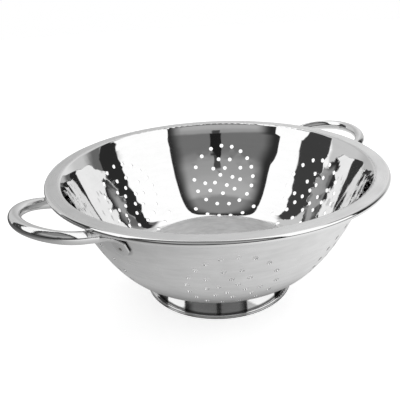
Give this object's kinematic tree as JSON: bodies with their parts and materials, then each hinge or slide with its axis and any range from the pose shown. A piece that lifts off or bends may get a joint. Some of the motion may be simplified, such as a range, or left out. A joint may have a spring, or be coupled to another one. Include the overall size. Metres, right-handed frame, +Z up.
{
  "type": "colander",
  "caption": "Round footed colander: deep perforated steel bowl with a flat brim and rolled edge, two bow handles on opposite sides and a ring foot.",
  "frame": {"origin": "centre of the circle that the foot ring stands on", "axes": "+Z up along the bowl's axis, +X towards one handle and -X towards the other"},
  "size_m": [0.343, 0.28, 0.1144],
  "materials": {
    "bowl_steel": "stainless steel, polished inside, satin outside and on the brim",
    "foot_steel": "stainless steel, bright drawn ring",
    "handle_steel": "stainless steel tube, bright polished",
    "weld_steel": "spot weld metal, dull"
  },
  "bodies": {
    "root": {"bowl": "bowl_steel", "foot_ring": "foot_steel", "right_handle": "handle_steel", "left_handle": "handle_steel", "handle_weld_nuggets": "weld_steel", "foot_weld_nuggets": "weld_steel"}
  },
  "joints": []
}
